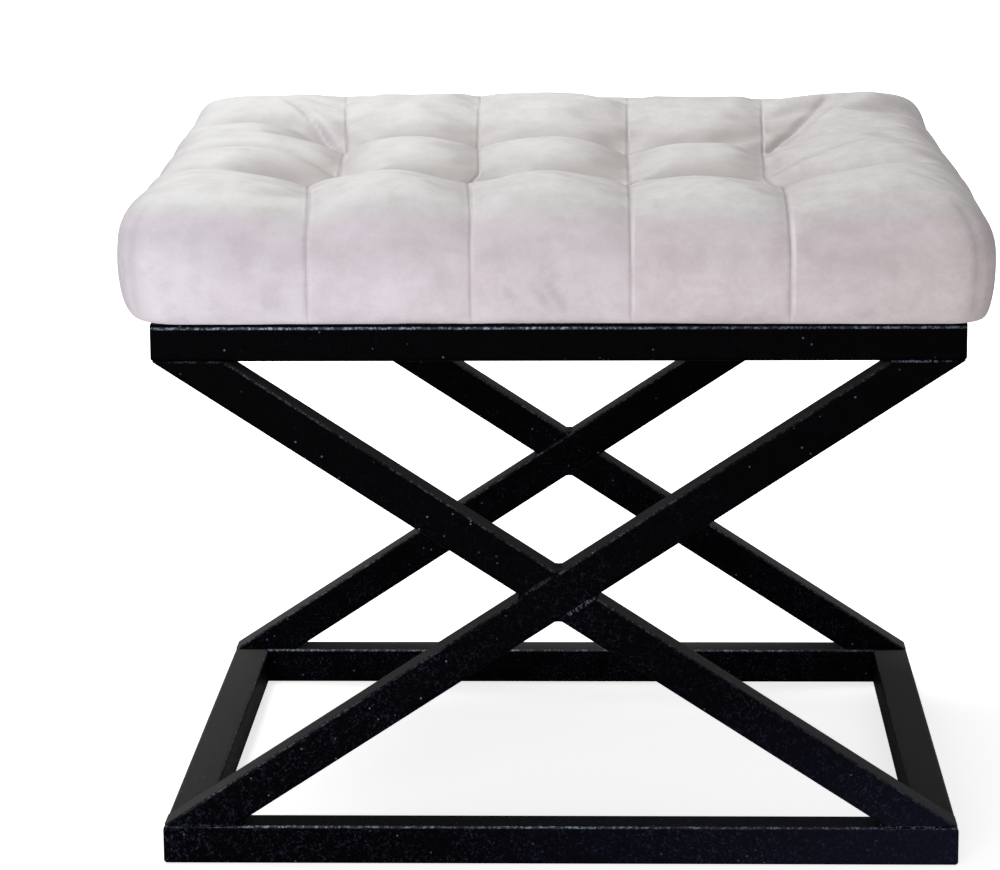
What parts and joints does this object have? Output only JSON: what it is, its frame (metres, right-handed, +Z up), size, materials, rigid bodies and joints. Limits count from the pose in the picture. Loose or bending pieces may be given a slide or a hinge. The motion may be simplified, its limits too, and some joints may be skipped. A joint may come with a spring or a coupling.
{
  "type": "x frame stool",
  "caption": "Low stool on a welded frame of square black steel tube with crossed legs front and back, under a pale velvet tufted seat pad.",
  "frame": {"origin": "on the floor, under the middle of the seat pad", "axes": "+Z up, +X to the right along the longer sides that carry the crossed legs, +Y to the back"},
  "size_m": [0.538, 0.498, 0.437],
  "materials": {
    "powder_coat": "fine-textured satin black powder coat",
    "velvet": "short-pile velvet, pale blush grey",
    "foam": "open-cell upholstery foam",
    "plywood": "raw birch plywood",
    "dust_cloth": "black non-woven cloth",
    "zinc": "bright zinc plate",
    "nylon": "waxed nylon twine and moulded disc"
  },
  "bodies": {
    "root": {"base_front_rail": "powder_coat", "base_left_rail": "powder_coat", "base_rear_rail": "powder_coat", "base_right_rail": "powder_coat", "dust_cover": "dust_cloth", "foam_pad": "foam", "front_lower_blunt_crossing_weld": "powder_coat", "front_lower_half_leg": "powder_coat", "front_lower_half_leg_weld": "powder_coat", "front_lower_sharp_crossing_weld": "powder_coat", "front_lower_through_leg_weld": "powder_coat", "front_through_leg": "powder_coat", "front_upper_blunt_crossing_weld": "powder_coat", "front_upper_half_leg": "powder_coat", "front_upper_half_leg_weld": "powder_coat", "front_upper_sharp_crossing_weld": "powder_coat", "front_upper_through_leg_weld": "powder_coat", "rear_lower_blunt_crossing_weld": "powder_coat", "rear_lower_half_leg": "powder_coat", "rear_lower_half_leg_weld": "powder_coat", "rear_lower_sharp_crossing_weld": "powder_coat", "rear_lower_through_leg_weld": "powder_coat", "rear_through_leg": "powder_coat", "rear_upper_blunt_crossing_weld": "powder_coat", "rear_upper_half_leg": "powder_coat", "rear_upper_half_leg_weld": "powder_coat", "rear_upper_sharp_crossing_weld": "powder_coat", "rear_upper_through_leg_weld": "powder_coat", "seat_board": "plywood", "seat_bolt_front_left": "zinc", "seat_bolt_front_right": "zinc", "seat_bolt_rear_left": "zinc", "seat_bolt_rear_right": "zinc", "seat_cover": "velvet", "seat_washer_front_left": "zinc", "seat_washer_front_right": "zinc", "seat_washer_rear_left": "zinc", "seat_washer_rear_right": "zinc", "tee_nut_front_left": "zinc", "tee_nut_front_right": "zinc", "tee_nut_rear_left": "zinc", "tee_nut_rear_right": "zinc", "top_front_rail": "powder_coat", "top_left_rail": "powder_coat", "top_rear_rail": "powder_coat", "top_right_rail": "powder_coat", "tuft_tie_front_1": "nylon", "tuft_tie_front_2": "nylon", "tuft_tie_front_3": "nylon", "tuft_tie_front_4": "nylon", "tuft_tie_rear_1": "nylon", "tuft_tie_rear_2": "nylon", "tuft_tie_rear_3": "nylon", "tuft_tie_rear_4": "nylon"}
  },
  "joints": []
}
